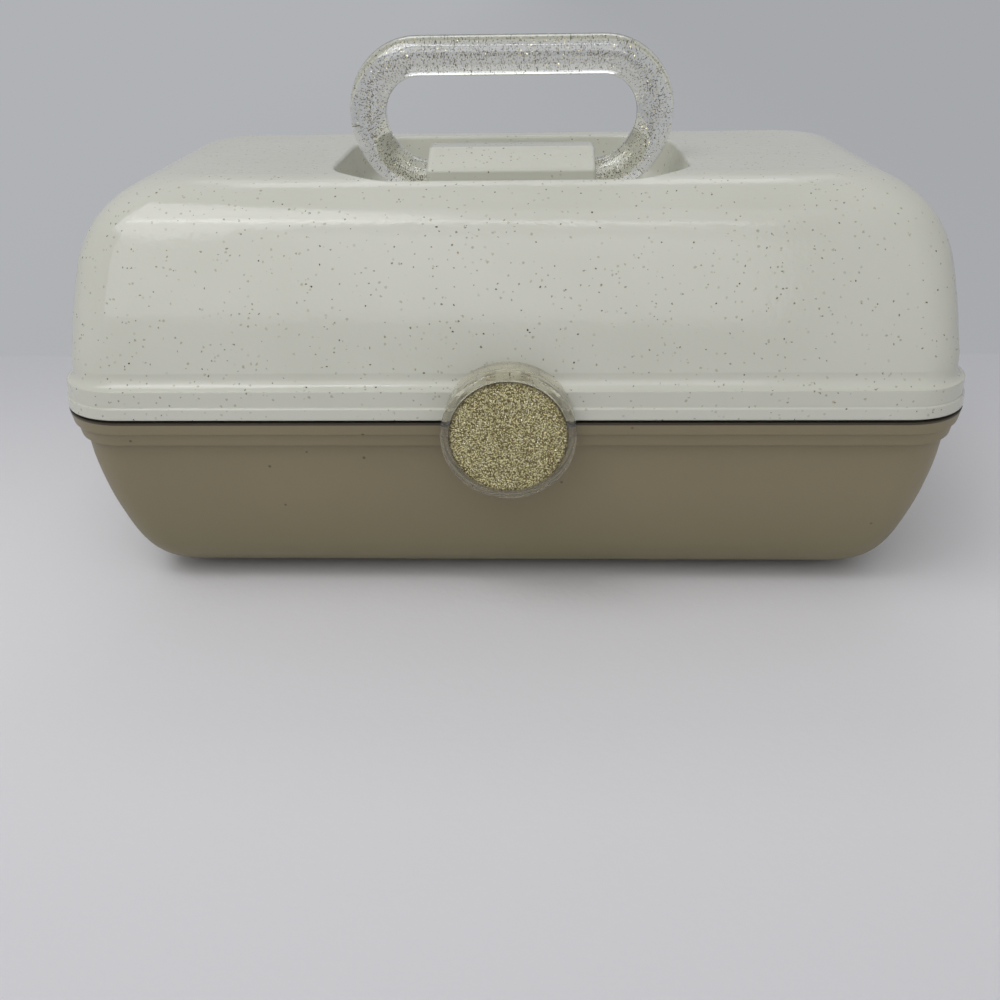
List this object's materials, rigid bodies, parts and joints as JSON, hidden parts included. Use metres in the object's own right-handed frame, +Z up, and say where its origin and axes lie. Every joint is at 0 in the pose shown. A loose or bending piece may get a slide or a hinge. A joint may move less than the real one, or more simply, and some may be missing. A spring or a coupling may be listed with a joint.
{
  "type": "makeup storage case with handle",
  "caption": "Rounded hard-shell makeup case with a hinged lid, flecked fold-down handle, round flip latch, lifting tray and lid mirror.",
  "frame": {"origin": "on the floor under the middle of the case's rims", "axes": "+X to the right, +Y to the back, +Z up; the latch faces -Y"},
  "size_m": [0.333, 0.2228, 0.198],
  "materials": {
    "lid": "glossy off-white with small tan specks",
    "base": "satin taupe",
    "clear": "clear with gold and black flecks",
    "glitter": "coarse gold glitter under a clear coat",
    "tray": "satin light taupe",
    "arms": "satin",
    "mirror": "silvered glass",
    "metal": "plain steel"
  },
  "bodies": {
    "base": {"base_shell": "base", "hinge_pin_left": "metal", "hinge_pin_right": "metal", "arm_base_rivet_left": "metal", "arm_base_rivet_right": "metal"},
    "lid": {"lid_shell": "lid", "handle_cap": "lid", "cap_screws": "metal", "latch_pin": "metal", "mirror_frame": "tray", "mirror_glass": "mirror", "mirror_screws": "metal", "tray_lid_rivet_left": "metal", "tray_lid_rivet_right": "metal"},
    "handle": {"handle": "clear"},
    "latch": {"latch_body": "clear", "latch_inlay": "glitter"},
    "tray": {"tray": "tray", "arm_tray_rivet_left": "metal", "arm_tray_rivet_right": "metal"},
    "arm_left": {"tray_arm_left": "arms"},
    "arm_right": {"tray_arm_right": "arms"}
  },
  "joints": [
    {"name": "lid_hinge", "type": "hinge", "parent": "base", "child": "lid", "pos_m": [0, 0.1065, 0.0777], "axis": [-1, 0, 0], "range_deg": [0, 100]},
    {"name": "handle_fold", "type": "hinge", "parent": "lid", "child": "handle", "pos_m": [0, -0.017, 0.146], "axis": [-1, 0, 0], "range_deg": [-60, 90]},
    {"name": "latch_flip", "type": "hinge", "parent": "lid", "child": "latch", "pos_m": [0, -0.1041, 0.0935], "axis": [-1, 0, 0], "range_deg": [0, 65]},
    {"name": "tray_pivot", "type": "hinge", "parent": "lid", "child": "tray", "pos_m": [0, 0.0395, 0.0839], "axis": [1, 0, 0], "range_deg": [0, 100]},
    {"name": "arm_left_pivot", "type": "hinge", "parent": "base", "child": "arm_left", "pos_m": [-0.1521, 0.01, 0.06], "axis": [-1, 0, 0], "range_deg": [0, 100]},
    {"name": "arm_right_pivot", "type": "hinge", "parent": "base", "child": "arm_right", "pos_m": [0.1521, 0.01, 0.06], "axis": [-1, 0, 0], "range_deg": [0, 100]}
  ],
  "couplings": [
    {"joint": "tray_pivot", "follows": "lid_hinge", "ratio": 1},
    {"joint": "arm_left_pivot", "follows": "lid_hinge", "ratio": 1},
    {"joint": "arm_right_pivot", "follows": "lid_hinge", "ratio": 1}
  ]
}
